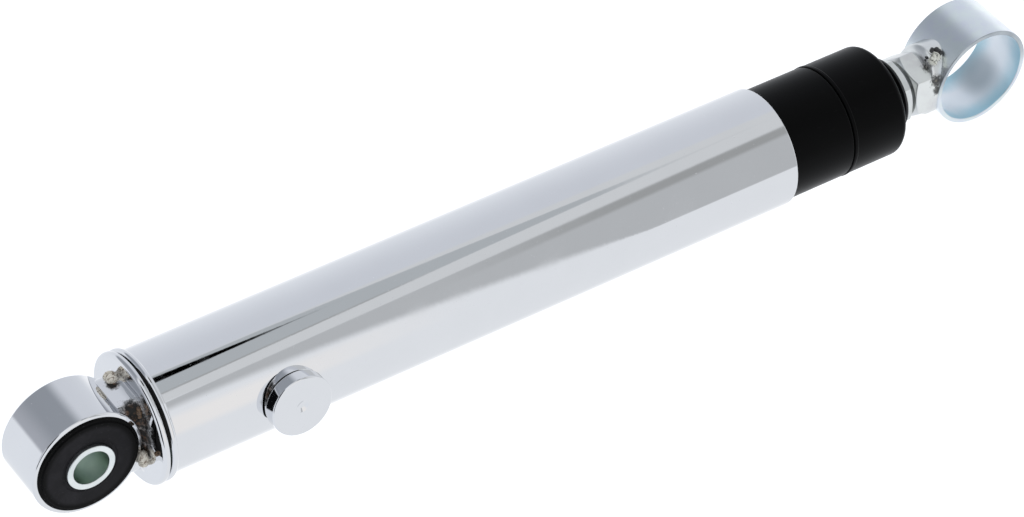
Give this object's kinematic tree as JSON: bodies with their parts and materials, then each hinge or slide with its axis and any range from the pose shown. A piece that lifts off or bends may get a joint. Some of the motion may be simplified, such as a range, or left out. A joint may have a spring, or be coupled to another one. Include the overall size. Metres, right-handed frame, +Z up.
{
  "type": "motorcycle shock absorber",
  "caption": "Slim rear shock absorber with a chromed cover, a preload knob, a rubber-bushed upper eye and a black sleeve that ends in a hexagon stem and a bare ring.",
  "frame": {"origin": "centre of the upper eye's bolt bore", "axes": "+Z runs up along the shaft, from the lower ring to the upper eye. +Y lies along both eye bores, and the preload knob is on the -Y side, a little towards +X."},
  "size_m": [0.0364, 0.0405, 0.3159],
  "materials": {
    "chrome_plate": "bright plate",
    "rod_chrome": "hard chrome, ground",
    "bolt_steel": "turned, dull, greenish inside",
    "zinc_plate": "satin zinc plate",
    "blue_zinc": "satin zinc plate with a blue passivate",
    "dark_steel": "blackened",
    "machined_steel": "machined, oiled",
    "spring_steel": "thin dark enamel",
    "sintered_iron": "pressed and sintered, oiled",
    "turned_aluminium": "turned",
    "bronze": "bored bearing bronze",
    "bush_rubber": "moulded, slightly worn",
    "seal_rubber": "moulded, oiled",
    "stop_foam": "close-celled moulded foam",
    "black_plastic": "satin moulded",
    "band_plastic": "filled low-friction plastic"
  },
  "bodies": {
    "bolt_sleeve": {"upper_bush_sleeve": "bolt_steel"},
    "upper": {"upper_bush_rubber": "bush_rubber", "upper_eye_ring": "chrome_plate", "eye_saddle": "chrome_plate", "top_cap": "chrome_plate", "damper_tube": "machined_steel", "thrust_washer": "band_plastic", "guide_keys": "machined_steel", "rod_guide": "bronze", "rod_seal": "seal_rubber", "gland_nut": "turned_aluminium"},
    "cover": {"cover_tube": "chrome_plate", "cam_ring": "sintered_iron", "knob_base": "chrome_plate", "knob": "chrome_plate", "knob_rivet": "zinc_plate"},
    "seat": {"spring_seat": "sintered_iron"},
    "gas_piston": {"floating_piston": "turned_aluminium", "floating_piston_seal": "seal_rubber"},
    "lower": {"piston_rod": "rod_chrome", "piston": "sintered_iron", "piston_band": "band_plastic", "compression_shims": "machined_steel", "rebound_shims": "machined_steel", "piston_nut": "zinc_plate", "rebound_stop": "stop_foam", "dust_sleeve": "black_plastic", "sleeve_cup": "black_plastic", "lower_spring_seat": "machined_steel", "bump_stop": "stop_foam", "coil_spring": "spring_steel", "end_washer": "dark_steel", "lock_nut": "zinc_plate", "hex_stem": "zinc_plate", "lower_eye_ring": "blue_zinc"}
  },
  "joints": [
    {"name": "bush_twist", "type": "hinge", "parent": "bolt_sleeve", "child": "upper", "pos_m": [0, 0, 0], "axis": [0, 1, 0], "range_deg": [-12, 12], "stiffness_Nm_per_rad": 2},
    {"name": "cover_turn", "type": "hinge", "parent": "upper", "child": "cover", "pos_m": [0, 0, 0], "axis": [0, 0, 1], "range_deg": [0, 90]},
    {"name": "preload_seat", "type": "slide", "parent": "upper", "child": "seat", "axis": [0, 0, -1], "range_m": [0, 0.00501]},
    {"name": "gas_piston_shift", "type": "slide", "parent": "upper", "child": "gas_piston", "axis": [0, 0, 1], "range_m": [0, 0.0195]},
    {"name": "compression", "type": "slide", "parent": "upper", "child": "lower", "axis": [0, 0, 1], "range_m": [0, 0.045], "stiffness_N_per_m": 13300, "springref_m": -0.012, "deforming": ["coil_spring"]}
  ],
  "couplings": [
    {"joint": "preload_seat", "follows": "cover_turn", "m_per_rad": 0.003183},
    {"joint": "gas_piston_shift", "follows": "compression", "ratio": 0.4328}
  ]
}
